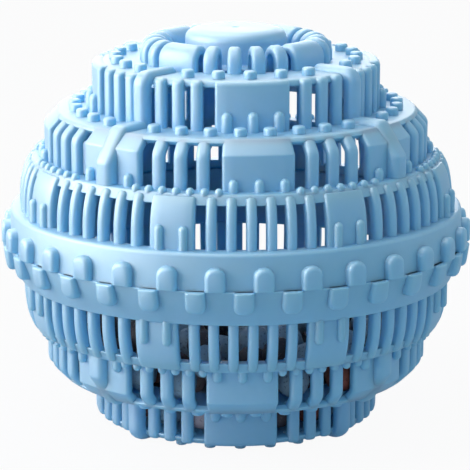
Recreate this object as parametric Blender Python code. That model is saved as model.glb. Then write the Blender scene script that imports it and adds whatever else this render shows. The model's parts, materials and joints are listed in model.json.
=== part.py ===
"""Laundry ball: two slotted plastic half shells that twist together, holding loose ceramic beads.

Metres, +Z up. The symmetry axis is Z, the feet stand on Z = 0, and -Y is the front. Angles are in
degrees round Z, seen from above, counted from the front. Heights of the shells are measured from the
seam, upwards for the upper shell and downwards for the lower one.
"""

from math import acos, asin, cos, degrees, floor, pi, radians, sin, sqrt

import bmesh
import bpy
from mathutils import Vector

# General sizes
WALL = 0.0015                  # thickness of the mouldings
SEAM_GAP = 0.0003              # between the two rims, where they meet
RUNNING_GAP = 0.0003           # between the pieces of the twist lock
BITE = 0.0006                  # how far a boss reaches into the wall that carries it
OVERCUT = 0.0009               # how far a slot's cutter runs past the wall
SLOT_SILL = 0.0004             # between a ledge and the slots over it
SMOOTH_ANGLE = 30              # degrees between faces that are shaded as one

# Rims, where the shells meet
RIM_R = 0.0483                 # of the upper shell, at the seam
RIM_DEPTH = 0.0075
RIM_DRAFT = 0.0003             # how far the upper rim draws in up to its lip
RIM_LIP_ROUND = 0.0004
RIM_LEDGE = 0.0023             # from the upper rim to the belt
LOWER_RIM_STEP = 0.0007        # the lower rim stands out from the upper one
LOWER_RIM_TAPER = 0.0028       # how far the lower rim draws in, down to its foot
GROOVE_DEPTH = 0.0052          # behind the lower rim
TOOTH_COUNT = 32
TOOTH_PROUD = 0.0010           # of the lower rim
TOOTH_W = 0.0040
TOOTH_H = 0.0044
TOOTH_SHOULDER = 0.0012        # where a tooth starts to narrow, below its tip
TOOTH_TIP_W = 0.0022

# Twist lock: lugs on the lower shell's spigot, over hooks in the upper rim's bore
LOCK_ROOM = 0.0014             # from the spigot to the upper rim's bore
LOCK_COUNT = 4
SEAT_TURN = 4.55               # the upper shell's front, closed, is turned this far from the lower's
SPIGOT_CLEAR = 0.0006          # over the spigot, to the upper rim's roof
LUG_HALF = 8.0
LUG_LOW = 0.0026
LUG_H = 0.0012
HOOK_LOW = 0.0006
OPEN_CLEAR = 1.2               # degrees between a lug and its hook, once the lock is open
STOP_GAP = 0.4                 # degrees between a lug and its stop
STOP_WIDTH = 2.4               # degrees

# Belt: the bulging tier beside the rim
BELT_H = 0.0107
BELT_STRAIGHT_H = 0.0020       # how far its wall rises before it bulges inwards
BELT_BULGE = 0.0030
BELT_LIP_STEP = 0.0026         # from the belt's wall in to its lip
BELT_LEDGE = 0.0022            # from the lip in to the shoulder
BELT_SLOT_HEAD = 0.0025        # from the slots up to the lip
BELT_PANELS = 8
BELT_PANEL_HALF = 5.8
BELT_RIBS = 6
BELT_RIB_W = 0.0021
BELT_RIB_PITCH = 5.08

# Shoulder: the middle tier
SHOULDER_H = 0.0100
SHOULDER_CHAMFER = 0.0028
SHOULDER_LEDGE = 0.0102        # from the shoulder's wall in to the neck
SHOULDER_SLOT_HEAD = 0.0007
SHOULDER_PANELS = 8
SHOULDER_PANEL_HALF = 10.4
SHOULDER_RIBS = 3
SHOULDER_RIB_W = 0.0026
SHOULDER_RIB_PITCH = 6.6

# Neck: the small tier at each pole, with a bar in place of its middle rib
NECK_H = 0.0100
NECK_ROUND = 0.0017
NECK_LEDGE = 0.0101            # from the neck's wall in to the crown
NECK_SLOT_HEAD = 0.0009
NECK_PANELS = 4
NECK_PANEL_HALF = 14.6
NECK_RIBS = 7
NECK_RIB_W = 0.0025
NECK_RIB_PITCH = 7.7

# Crown of arches and the disc in its middle, on the upper shell's neck
CROWN_H = 0.0052
CROWN_W = 0.0066
CROWN_PANELS = 4
CROWN_PANEL_HALF = 14.5
CROWN_RIBS = 4
CROWN_RIB_W = 0.0031
CROWN_RIB_PITCH = 14.7
CROWN_GROOVE = 0.0030          # from the crown in to the disc
DISC_H = 0.0068
DISC_ROUND = 0.0012

# Bars that climb the neck and the shoulder, and run inwards as legs
NECK_BAR_W = 0.0035
NECK_BAR_PROUD = 0.0014
NECK_LEG_CLEAR = 0.0007        # from the crown to the leg's end
SHOULDER_BAR_W = 0.0042
SHOULDER_BAR_STEP = 0.0030     # from the belt's wall in to the bar
SHOULDER_BAR_SLANT_R = 0.0050  # the bar slopes out by this much, below its leg
SHOULDER_BAR_SLANT_H = 0.0067  # and down by this much
SHOULDER_LEG_CLEAR = 0.0008    # from the neck's wall to the leg's end
LEG_H = 0.0012
BAR_MARGIN = 0.0003            # of the wall that shows on each side of a neck bar

# Base of the lower shell: its feet are as tall as the legs
BASE_H = 0.0095                # of the lower shell's neck
FOOT_INSET = 0.0034            # from the neck's wall in to the feet
FOOT_W = 0.0026
FOOT_L = 0.0022
FOOT_PITCH = 13.3
FEET = 5                       # under each of the neck's panels

# Loose ceramic beads
BOTTOM_BEADS = 43              # mostly clay and dark ones
TOP_BEADS = 13                 # none of clay
BEAD_R = 0.0036
BEAD_GAP = 0.0003
BEAD_SIDES = 8
BEAD_BANDS = 4

# Places that follow from the sizes above
RIM_BORE = RIM_R - WALL
UPPER_BELT_R = RIM_R - RIM_LEDGE
LOWER_BELT_R = RIM_BORE - LOCK_ROOM
LOWER_RIM_R = RIM_R + LOWER_RIM_STEP
TOOTH_R = LOWER_RIM_R + TOOTH_PROUD
SHOULDER_R = LOWER_BELT_R - BELT_LIP_STEP - BELT_LEDGE
NECK_R = SHOULDER_R - SHOULDER_LEDGE
CROWN_R = NECK_R - NECK_LEDGE
CROWN_BORE = CROWN_R - CROWN_W
DISC_R = CROWN_BORE - CROWN_GROOVE
FOOT_R = NECK_R - FOOT_INSET
BELT_STRAIGHT = RIM_DEPTH + BELT_STRAIGHT_H
BELT_TOP = RIM_DEPTH + BELT_H
SHOULDER_TOP = BELT_TOP + SHOULDER_H
NECK_TOP = SHOULDER_TOP + NECK_H
CROWN_TOP = NECK_TOP + CROWN_H
DISC_TOP = NECK_TOP + DISC_H
BASE_DEPTH = SHOULDER_TOP + BASE_H
SEAM_Z = BASE_DEPTH + LEG_H
SPIGOT_TOP = RIM_DEPTH - WALL - SPIGOT_CLEAR
LUG_R = RIM_BORE - RUNNING_GAP
HOOK_R = LOWER_BELT_R + RUNNING_GAP
HOOK_TOP = LUG_LOW - RUNNING_GAP
OPENING_TURN = 2 * (LUG_HALF + STOP_GAP) + OPEN_CLEAR
TURN_STEPS = TOOTH_COUNT       # one flat of each turned shell behind each tooth
BEAD_PITCH = 2 * BEAD_R + BEAD_GAP


def clear_scene():
    for old in list(bpy.data.objects):
        bpy.data.objects.remove(old, do_unlink=True)


def plastic(name, colour, roughness):
    """A plain material of one colour."""
    material = bpy.data.materials.new(name)
    material.use_nodes = True
    shader = material.node_tree.nodes["Principled BSDF"]
    shader.inputs["Base Color"].default_value = (*colour, 1.0)
    shader.inputs["Roughness"].default_value = roughness
    shader.inputs["Metallic"].default_value = 0.0
    return material


def place(r, height, angle, aside=0.0):
    """The point at radius r, turned by angle from the front, and moved aside along the tangent."""
    turn = radians(angle)
    x = r * sin(turn) + aside * cos(turn)
    y = -r * cos(turn) + aside * sin(turn)
    return Vector((x, y, height))


def loft(mesh, rings):
    """A closed body through rings of points that all have the same count."""
    loops = [[mesh.verts.new(point) for point in ring] for ring in rings]
    for first, second in zip(loops, loops[1:]):
        count = len(first)
        for i in range(count):
            j = (i + 1) % count
            mesh.faces.new((first[i], first[j], second[j], second[i]))
    mesh.faces.new(list(reversed(loops[0])))
    mesh.faces.new(loops[-1])


def sweep(mesh, outline, start, end, steps=1):
    """A block of the outline's (r, height) shape, swept round Z from start to end degrees."""
    angles = [start + (end - start) * i / steps for i in range(steps + 1)]
    loft(mesh, [[place(r, h, angle) for r, h in outline] for angle in angles])


def bar(mesh, outline, angle, width):
    """A bar of the outline's (r, height) shape, as thick as width, across the given angle."""
    loft(mesh, [[place(r, h, angle, aside) for r, h in outline] for aside in (-width / 2, width / 2)])


def tooth(mesh, angle, levels):
    """A boss whose levels each give a height, an inner and outer radius, and a width."""
    rings = []
    for h, r_in, r_out, width in levels:
        corners = ((r_in, -width / 2), (r_out, -width / 2), (r_out, width / 2), (r_in, width / 2))
        rings.append([place(r, h, angle, aside) for r, aside in corners])
    loft(mesh, rings)


def lathe(mesh, profile):
    """A body turned round Z from a profile of (r, height) that starts and ends on the axis."""
    points = [mesh.verts.new(place(r, h, 180 / TURN_STEPS)) for r, h in profile]
    edges = [mesh.edges.new(pair) for pair in zip(points, points[1:])]
    bmesh.ops.spin(
        mesh,
        geom=points + edges,
        axis=(0.0, 0.0, 1.0),
        cent=(0.0, 0.0, 0.0),
        steps=TURN_STEPS,
        angle=2 * pi,
    )
    bmesh.ops.remove_doubles(mesh, verts=mesh.verts, dist=1e-6)


def arc(centre_r, centre_h, radius_r, radius_h, start, end, steps):
    """Points of (r, height) on an ellipse, from start to end degrees above the outward direction."""
    points = []
    for i in range(steps + 1):
        turn = radians(start + (end - start) * i / steps)
        points.append((centre_r + radius_r * cos(turn), centre_h + radius_h * sin(turn)))
    return points


def object_from(mesh, name, material, parent):
    """Turns a bmesh into an object whose origin is on the seam's centre."""
    bmesh.ops.recalc_face_normals(mesh, faces=mesh.faces)
    data = bpy.data.meshes.new(name)
    mesh.to_mesh(data)
    mesh.free()
    made = bpy.data.objects.new(name, data)
    bpy.context.scene.collection.objects.link(made)
    made.parent = parent
    if material:
        data.materials.append(material)
        data.shade_smooth()
        data.set_sharp_from_angle(angle=radians(SMOOTH_ANGLE))
    return made


def boolean(target, operation, tool):
    """Cuts or joins the tool, which stays as a hidden guide."""
    tool.hide_render = True
    tool.display_type = "WIRE"
    modifier = target.modifiers.new(tool.name, "BOOLEAN")
    modifier.operation = operation
    modifier.solver = "EXACT"
    modifier.object = tool


def panels_and_ribs(r, panels, first, panel_half, ribs, rib_w, rib_pitch):
    """Where a tier is solid, in (start, end) degrees: its panels, and the ribs half way between them."""
    rib_half = degrees(rib_w / 2 / r)
    solids = []
    for i in range(panels):
        middle = first + 360 * i / panels
        solids.append((middle - panel_half, middle + panel_half))
        for step in range(ribs):
            rib = middle + 180 / panels + (step - (ribs - 1) / 2) * rib_pitch
            solids.append((rib - rib_half, rib + rib_half))
    return solids


def bar_angles():
    """Half way between the neck's panels."""
    return [360 * (i + 0.5) / NECK_PANELS for i in range(NECK_PANELS)]


def gaps_between(solids):
    """The open stretches of (start, end) degrees between the solid ones."""
    solids = sorted(solids)
    reach = solids[0][1]
    gaps = []
    for start, end in solids[1:] + [(solids[0][0] + 360, solids[0][1] + 360)]:
        if start > reach:
            gaps.append((reach, start))
        reach = max(reach, end)
    return gaps


def cut_slots(mesh, side, solids, r_in, r_out, low, top):
    """Cutters for the slots of one tier. Side is 1 above the seam and -1 below it."""
    outline = [(r_in, side * low), (r_out, side * low), (r_out, side * top), (r_in, side * top)]
    for start, end in gaps_between(solids):
        sweep(mesh, outline, start, end)


def tier_slots(side, belt_r, neck_top):
    """Cutters for the slots that both shells have, in the neck, the shoulder and the belt."""
    behind = WALL + OVERCUT
    bar_half = degrees((NECK_BAR_W / 2 + BAR_MARGIN) / NECK_R)
    neck = panels_and_ribs(NECK_R, NECK_PANELS, 0, NECK_PANEL_HALF, NECK_RIBS, NECK_RIB_W, NECK_RIB_PITCH)
    neck += [(angle - bar_half, angle + bar_half) for angle in bar_angles()]
    shoulder = panels_and_ribs(SHOULDER_R, SHOULDER_PANELS, 0, SHOULDER_PANEL_HALF,
                               SHOULDER_RIBS, SHOULDER_RIB_W, SHOULDER_RIB_PITCH)
    belt = panels_and_ribs(belt_r, BELT_PANELS, 180 / BELT_PANELS, BELT_PANEL_HALF,
                           BELT_RIBS, BELT_RIB_W, BELT_RIB_PITCH)
    mesh = bmesh.new()
    cut_slots(mesh, side, neck, NECK_R - behind, NECK_R + OVERCUT,
              SHOULDER_TOP + SLOT_SILL, neck_top - NECK_SLOT_HEAD)
    cut_slots(mesh, side, shoulder, SHOULDER_R - behind, SHOULDER_R + OVERCUT,
              BELT_TOP + SLOT_SILL, SHOULDER_TOP - SHOULDER_SLOT_HEAD)
    cut_slots(mesh, side, belt, belt_r - behind, belt_r + OVERCUT,
              RIM_DEPTH + SLOT_SILL, BELT_TOP - BELT_SLOT_HEAD)
    return mesh


def crown_slots(mesh):
    """Cutters that leave the crown's arched ribs, and its wide arched panels over the bars."""
    crown = panels_and_ribs(CROWN_R, CROWN_PANELS, 180 / CROWN_PANELS, CROWN_PANEL_HALF,
                            CROWN_RIBS, CROWN_RIB_W, CROWN_RIB_PITCH)
    cut_slots(mesh, 1, crown, CROWN_BORE - OVERCUT, CROWN_R + OVERCUT,
              NECK_TOP + SLOT_SILL, CROWN_TOP + OVERCUT)


def belt_curve(belt_r, inset, top, steps):
    """Points of (r, height) up the belt's bulging wall, or along a wall that lies inset inside it."""
    lip_turn = acos(1 - BELT_LIP_STEP / BELT_BULGE)
    rise = (BELT_TOP - BELT_STRAIGHT) / sin(lip_turn) - inset
    last_turn = degrees(asin((top - BELT_STRAIGHT) / rise))
    return arc(belt_r - BELT_BULGE, BELT_STRAIGHT, BELT_BULGE - inset, rise, 0, last_turn, steps)


def tier_outside(belt_r, neck_top):
    """Outer points of (r, height), from the neck's flat top down to the rim's ledge."""
    points = arc(NECK_R - NECK_ROUND, neck_top - NECK_ROUND, NECK_ROUND, NECK_ROUND, 90, 0, 2)
    points.append((NECK_R, SHOULDER_TOP))
    points.append((SHOULDER_R - SHOULDER_CHAMFER, SHOULDER_TOP))
    points.append((SHOULDER_R, SHOULDER_TOP - SHOULDER_CHAMFER))
    points.append((SHOULDER_R, BELT_TOP))
    points += reversed(belt_curve(belt_r, 0.0, BELT_TOP, 3))
    points.append((belt_r, RIM_DEPTH))
    return points


def tier_inside(belt_r):
    """Inner points of (r, height), from the belt up to the bottom of the neck."""
    slant = WALL * (sqrt(2) - 1)
    points = belt_curve(belt_r, WALL, BELT_TOP - WALL, 2)
    points.append((SHOULDER_R - WALL, BELT_TOP - WALL))
    points.append((SHOULDER_R - WALL, SHOULDER_TOP - SHOULDER_CHAMFER - slant))
    points.append((SHOULDER_R - SHOULDER_CHAMFER - slant, SHOULDER_TOP - WALL))
    points.append((NECK_R - WALL, SHOULDER_TOP - WALL))
    return points


def bars(mesh, side, r, bar_r, width, low, top, corner, slant_r, slant_h, end_r):
    """Bars up a tier's wall, from low to top, that slope over its corner and run inwards as legs to end_r.

    The wall stands at r and has a corner of that size. The bars stand at bar_r, before they slope.
    """
    leg = top + LEG_H
    outline = [
        (bar_r, low - BITE),
        (bar_r, leg - slant_h),
        (bar_r - slant_r, leg),
        (end_r, leg),
        (end_r, top - BITE),
        (r - corner - BITE / 2, top - BITE),
        (r - BITE, top - corner - BITE / 2),
        (r - BITE, low - BITE),
    ]
    for angle in bar_angles():
        bar(mesh, [(point_r, side * h) for point_r, h in outline], angle, width)


def neck_bars(mesh, side, neck_top):
    slant = NECK_ROUND + LEG_H
    bars(mesh, side, NECK_R, NECK_R + NECK_BAR_PROUD, NECK_BAR_W, SHOULDER_TOP, neck_top,
         NECK_ROUND, slant, slant, CROWN_R + NECK_LEG_CLEAR)


def shoulder_bars(mesh, side, belt_r):
    bars(mesh, side, SHOULDER_R, belt_r - SHOULDER_BAR_STEP, SHOULDER_BAR_W, BELT_TOP, SHOULDER_TOP,
         SHOULDER_CHAMFER, SHOULDER_BAR_SLANT_R, SHOULDER_BAR_SLANT_H, NECK_R + SHOULDER_LEG_CLEAR)


def upper_profile():
    """Points of (r, height) round the upper wall, from the middle of the disc and back inside it."""
    crown_mid = (CROWN_R + CROWN_BORE) / 2
    crown_half = CROWN_W / 2
    crown_foot = CROWN_TOP - crown_half
    points = [(0.0, DISC_TOP), (DISC_R - DISC_ROUND, DISC_TOP), (DISC_R, DISC_TOP - DISC_ROUND)]
    points += [(DISC_R, NECK_TOP), (CROWN_BORE, NECK_TOP)]
    points += arc(crown_mid, crown_foot, crown_half, crown_half, 180, 0, 5)
    points.append((CROWN_R, NECK_TOP))
    points += tier_outside(UPPER_BELT_R, NECK_TOP)
    points += [
        (RIM_R - RIM_DRAFT - RIM_LIP_ROUND, RIM_DEPTH),
        (RIM_R - RIM_DRAFT, RIM_DEPTH - RIM_LIP_ROUND),
        (RIM_R, SEAM_GAP / 2),
        (RIM_BORE, SEAM_GAP / 2),
        (RIM_BORE, RIM_DEPTH - WALL),
        (UPPER_BELT_R - WALL, RIM_DEPTH - WALL),
    ]
    points += tier_inside(UPPER_BELT_R)
    points += [
        (NECK_R - WALL, NECK_TOP - WALL - NECK_ROUND / 2),
        (NECK_R - WALL - NECK_ROUND / 2, NECK_TOP - WALL),
        (CROWN_R - WALL, NECK_TOP - WALL),
    ]
    points += arc(crown_mid, crown_foot, crown_half - WALL, crown_half - WALL, 0, 180, 3)
    points += [(CROWN_BORE + WALL, NECK_TOP - WALL), (DISC_R - WALL, NECK_TOP - WALL)]
    points += [(DISC_R - WALL, DISC_TOP - WALL), (0.0, DISC_TOP - WALL)]
    return points


def upper_teeth(mesh):
    foot = SEAM_GAP / 2
    inner = RIM_R - BITE
    for i in range(TOOTH_COUNT):
        tooth(mesh, 360 * i / TOOTH_COUNT, [
            (foot, inner, TOOTH_R, TOOTH_W),
            (foot + TOOTH_H - TOOTH_SHOULDER, inner, TOOTH_R, TOOTH_W),
            (foot + TOOTH_H, inner, TOOTH_R, TOOTH_TIP_W),
        ])


def hooks_and_stops(hooks, stops):
    """Hooks that reach in under the lugs of the lower shell, with a stop at each end of the turn."""
    carrier_r = RIM_BORE + BITE
    stop_r = HOOK_R + RUNNING_GAP / 2
    stop_low = (HOOK_LOW + HOOK_TOP) / 2
    stop_top = RIM_DEPTH - BITE
    hook = [(HOOK_R, HOOK_LOW), (carrier_r, HOOK_LOW), (carrier_r, HOOK_TOP), (HOOK_R, HOOK_TOP)]
    stop = [(stop_r, stop_low), (carrier_r, stop_low), (carrier_r, stop_top), (stop_r, stop_top)]
    for i in range(LOCK_COUNT):
        lug_angle = 360 * i / LOCK_COUNT - SEAT_TURN
        hook_start = lug_angle - LUG_HALF - STOP_GAP
        hook_end = lug_angle + LUG_HALF + STOP_GAP
        open_stop = hook_start - OPENING_TURN
        sweep(hooks, hook, hook_start, hook_end + STOP_WIDTH / 2, 3)
        sweep(stops, stop, hook_end, hook_end + STOP_WIDTH)
        sweep(stops, stop, open_stop - STOP_WIDTH, open_stop)


def upper_shell(parent, material):
    """The upper moulding: disc, crown of arches, three slotted tiers and the rim with its teeth."""
    body = bmesh.new()
    lathe(body, upper_profile())
    shell = object_from(body, "upper_shell", material, parent)

    slots = tier_slots(1, UPPER_BELT_R, NECK_TOP)
    crown_slots(slots)
    boolean(shell, "DIFFERENCE", object_from(slots, "upper_slots", None, parent))

    bosses = bmesh.new()
    neck_bars(bosses, 1, NECK_TOP)
    upper_teeth(bosses)
    more_bosses = bmesh.new()
    shoulder_bars(more_bosses, 1, UPPER_BELT_R)
    hooks_and_stops(bosses, more_bosses)
    boolean(shell, "UNION", object_from(bosses, "upper_teeth_and_hooks", None, parent))
    boolean(shell, "UNION", object_from(more_bosses, "upper_bars_and_stops", None, parent))
    return shell


def lower_profile():
    """Points of (r, height) round the lower wall, from the middle of its floor and back under it."""
    points = [(0.0, WALL - BASE_DEPTH), (NECK_R - WALL - NECK_ROUND / 2, WALL - BASE_DEPTH)]
    points.append((NECK_R - WALL, WALL + NECK_ROUND / 2 - BASE_DEPTH))
    points += [(r, -h) for r, h in reversed(tier_inside(LOWER_BELT_R))]
    points += [
        (LOWER_BELT_R - WALL, SPIGOT_TOP),
        (LOWER_BELT_R, SPIGOT_TOP),
        (LOWER_BELT_R, -GROOVE_DEPTH),
        (LOWER_RIM_R - WALL, -SEAM_GAP / 2),
        (LOWER_RIM_R, -SEAM_GAP / 2),
        (LOWER_RIM_R - LOWER_RIM_TAPER, -RIM_DEPTH),
    ]
    points += [(r, -h) for r, h in reversed(tier_outside(LOWER_BELT_R, BASE_DEPTH))]
    points.append((0.0, -BASE_DEPTH))
    return points


def lower_teeth(mesh):
    skirt_slope = LOWER_RIM_TAPER / RIM_DEPTH
    for i in range(TOOTH_COUNT):
        levels = []
        for drop, width in ((0.0, TOOTH_W), (TOOTH_H - TOOTH_SHOULDER, TOOTH_W), (TOOTH_H, TOOTH_TIP_W)):
            h = SEAM_GAP / 2 + drop
            levels.append((-h, LOWER_RIM_R - BITE - skirt_slope * h, TOOTH_R, width))
        tooth(mesh, 360 * i / TOOTH_COUNT, levels)


def feet(mesh):
    for panel in range(NECK_PANELS):
        for step in range(FEET):
            angle = 360 * panel / NECK_PANELS + (step - (FEET - 1) / 2) * FOOT_PITCH
            tooth(mesh, angle, [
                (-SEAM_Z, FOOT_R - FOOT_L / 2, FOOT_R + FOOT_L / 2, FOOT_W),
                (BITE - BASE_DEPTH, FOOT_R - FOOT_L / 2, FOOT_R + FOOT_L / 2, FOOT_W),
            ])


def lugs(mesh):
    """Lugs on the spigot, which the upper shell's hooks hold down when the ball is shut."""
    root = LOWER_BELT_R - BITE
    top = LUG_LOW + LUG_H
    for i in range(LOCK_COUNT):
        middle = 360 * i / LOCK_COUNT
        outline = [(root, LUG_LOW), (LUG_R, LUG_LOW), (LUG_R, top), (root, top)]
        sweep(mesh, outline, middle - LUG_HALF, middle + LUG_HALF, 3)


def lower_shell(parent, material):
    """The lower moulding: base with feet, three slotted tiers, the rim with its teeth and the spigot."""
    body = bmesh.new()
    lathe(body, lower_profile())
    shell = object_from(body, "lower_shell", material, parent)
    slots = tier_slots(-1, LOWER_BELT_R, BASE_DEPTH)
    boolean(shell, "DIFFERENCE", object_from(slots, "lower_slots", None, parent))

    bosses = bmesh.new()
    neck_bars(bosses, -1, BASE_DEPTH)
    lower_teeth(bosses)
    feet(bosses)
    lugs(bosses)
    more_bosses = bmesh.new()
    shoulder_bars(more_bosses, -1, LOWER_BELT_R)
    boolean(shell, "UNION", object_from(bosses, "lower_teeth_feet_and_lugs", None, parent))
    boolean(shell, "UNION", object_from(more_bosses, "lower_bars", None, parent))
    return shell


def add_ring(spots, ring_r):
    """A ring of beads, each let down onto the floor or onto the beads that are there already."""
    fitting = max(1, floor(2 * pi * ring_r / BEAD_PITCH))
    count = min(fitting, BOTTOM_BEADS + TOP_BEADS - len(spots))
    ring = []
    for i in range(count):
        spot = place(ring_r, WALL - BASE_DEPTH + BEAD_GAP + BEAD_R, 360 * i / count)
        for other in spots:
            apart = (spot.xy - other.xy).length
            if apart < 2 * BEAD_R:
                spot.z = max(spot.z, other.z + sqrt(4 * BEAD_R ** 2 - apart ** 2))
        ring.append(spot)
    spots += ring


def bead_spots():
    """Rings of beads from the wall inwards, layer on layer, every other layer over the furrows below."""
    spots = []
    layer = 0
    while len(spots) < BOTTOM_BEADS + TOP_BEADS:
        ring_r = NECK_R - WALL - BEAD_GAP - BEAD_R - (layer % 2) * BEAD_PITCH / 2
        while ring_r > BEAD_PITCH:
            add_ring(spots, ring_r)
            ring_r -= BEAD_PITCH
        add_ring(spots, 0.0)
        layer += 1
    return spots


def add_beads(parent, spots, kinds):
    """One object for each bead, of the kinds in turn."""
    shape = bmesh.new()
    bmesh.ops.create_uvsphere(shape, u_segments=BEAD_SIDES, v_segments=BEAD_BANDS, radius=BEAD_R)
    data = bpy.data.meshes.new("bead")
    shape.to_mesh(data)
    shape.free()
    data.shade_smooth()
    for i, spot in enumerate(spots):
        material = kinds[i % len(kinds)]
        number = 1 + sum(1 for other in bpy.data.objects if other.name.startswith(material.name))
        bead = bpy.data.objects.new(f"{material.name}_{number:02d}", data.copy())
        bead.data.materials.append(material)
        bead.location = spot
        bead.parent = parent
        bpy.context.scene.collection.objects.link(bead)


clear_scene()
seam = bpy.data.objects.new("seam_centre", None)
seam.location = (0.0, 0.0, SEAM_Z)
bpy.context.scene.collection.objects.link(seam)
twist_axis = bpy.data.objects.new("twist_axis", None)
twist_axis.parent = seam
twist_axis.rotation_euler = (0.0, 0.0, radians(SEAT_TURN))
bpy.context.scene.collection.objects.link(twist_axis)

sky_blue = plastic("sky_blue_plastic", (0.33, 0.57, 0.74), 0.35)
lower_shell(seam, sky_blue)
upper_shell(twist_axis, sky_blue)
clay = plastic("clay_bead", (0.30, 0.11, 0.07), 0.6)
pale = plastic("pale_bead", (0.60, 0.50, 0.48), 0.5)
slate = plastic("slate_bead", (0.22, 0.30, 0.34), 0.5)
dark = plastic("dark_bead", (0.05, 0.05, 0.06), 0.5)
fill = bead_spots()
add_beads(seam, fill[:BOTTOM_BEADS], (clay, dark, clay, slate, pale))
add_beads(seam, fill[BOTTOM_BEADS:], (pale, slate, dark))
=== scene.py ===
"""Laundry ball: two slotted halves of sky-blue plastic, twisted together round loose ceramic beads."""

import json
from math import acos, cos, degrees, pi, radians, sin

import bmesh
import bpy
import numpy as np
from mathutils import Matrix, Vector


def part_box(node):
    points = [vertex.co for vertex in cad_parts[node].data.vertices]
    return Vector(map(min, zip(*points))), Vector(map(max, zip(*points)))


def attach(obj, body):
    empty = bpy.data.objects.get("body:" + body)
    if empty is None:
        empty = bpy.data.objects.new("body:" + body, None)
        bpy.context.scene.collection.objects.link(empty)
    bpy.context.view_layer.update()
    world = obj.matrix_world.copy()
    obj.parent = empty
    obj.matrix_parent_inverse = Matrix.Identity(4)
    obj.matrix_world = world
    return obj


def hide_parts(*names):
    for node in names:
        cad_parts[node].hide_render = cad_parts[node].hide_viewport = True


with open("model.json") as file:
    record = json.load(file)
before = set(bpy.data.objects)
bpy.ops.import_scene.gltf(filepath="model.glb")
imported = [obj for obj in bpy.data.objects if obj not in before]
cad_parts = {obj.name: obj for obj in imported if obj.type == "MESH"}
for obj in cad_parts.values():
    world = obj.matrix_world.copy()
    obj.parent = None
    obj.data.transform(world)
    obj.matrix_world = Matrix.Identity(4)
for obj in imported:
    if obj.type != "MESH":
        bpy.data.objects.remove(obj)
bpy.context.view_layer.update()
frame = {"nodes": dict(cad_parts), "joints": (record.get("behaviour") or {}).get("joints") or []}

# Base of the lower half
# A flat round plate closes the bottom. It is moulded in one with the tiers above it, of a sky-blue
# plastic with a fine satin grain, and short round feet under it share the load with the neck's bars.

MM = 0.001
SEAM_Z = frame["joints"][0]["pos_m"][2]
SEAT_TURN = 4.55             # degrees from the lower half's front to the upper half's, when shut
BASE_DEPTH = 37.7 * MM       # from the seam to the plate's underside
NECK_R = 30.4 * MM
PLATE_R = NECK_R - 0.7 * MM
PLATE_DROP = 1.2 * MM        # from the plate's face to where it is widest
WALL = 1.5 * MM
LEDGE_DRAW = 0.4 * MM        # from where a ledge is widest, in to its face
LEDGE_UNDERCUT = 1.4 * MM    # and in to its back
LEDGE_EDGE = 0.9 * MM
LEDGE_BACK_EDGE = 0.3 * MM
ROOT = 0.4 * MM              # how far a piece is sunk into what it stands on
FOOT_RING_R = 27.0 * MM
FOOT_R = 1.2 * MM
FOOT_EDGE = 0.35 * MM
FOOT_GROUPS = 4
FEET = 5
FOOT_PITCH = 13.3            # degrees, as all pitches and half widths round the ball
TURN_STEPS = 192
TOUCHING = 0.0001 * MM       # points nearer than this are made one
SHARP_ANGLE = 38


class Wire:
    """An output of a node, which can stand in a sum or a product. What it makes joins the same tree."""

    def __init__(self, tree, socket=None):
        self.tree = tree
        self.socket = socket

    def node(self, kind, settings=None, inputs=None, output=0):
        """A new node's output. The settings are made first, then each input takes a value or a wire."""
        made = self.tree.nodes.new(kind)
        for key, value in (settings or {}).items():
            setattr(made, key, value)
        for key, value in (inputs or {}).items():
            if isinstance(value, Wire):
                self.tree.links.new(value.socket, made.inputs[key])
            else:
                made.inputs[key].default_value = value
        return Wire(self.tree, made.outputs[output] if made.outputs else None)

    def maths(self, operation, first, second=0.0):
        return self.node("ShaderNodeMath", {"operation": operation}, {0: first, 1: second})

    def __add__(self, other):
        return self.maths("ADD", self, other)

    def __sub__(self, other):
        return self.maths("SUBTRACT", self, other)

    def __rsub__(self, other):
        return self.maths("SUBTRACT", other, self)

    def __mul__(self, other):
        return self.maths("MULTIPLY", self, other)

    def __truediv__(self, other):
        return self.maths("DIVIDE", self, other)

    def __rtruediv__(self, other):
        return self.maths("DIVIDE", other, self)

    __radd__ = __add__
    __rmul__ = __mul__


def noise(start, spot, per_metre, detail=2.0, roughness=0.5):
    """Smooth noise from 0 to 1, with that many features to the metre."""
    settings = {"Vector": spot, "Scale": per_metre, "Detail": detail, "Roughness": roughness}
    return start.node("ShaderNodeTexNoise", None, settings)


def blend(start, factor, first, second):
    """The first colour at a factor of 0, and the second at 1."""
    return start.node("ShaderNodeMix", {"data_type": "RGBA"}, {0: factor, 6: first, 7: second}, 2)


def new_material(name):
    """A material without nodes, and the start of its tree."""
    material = bpy.data.materials.new(name)
    material.use_nodes = True
    material.node_tree.nodes.clear()
    return material, Wire(material.node_tree)


def end_in_principled(start, inputs):
    surface = start.node("ShaderNodeBsdfPrincipled", None, inputs)
    start.node("ShaderNodeOutputMaterial", None, {"Surface": surface})


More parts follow.
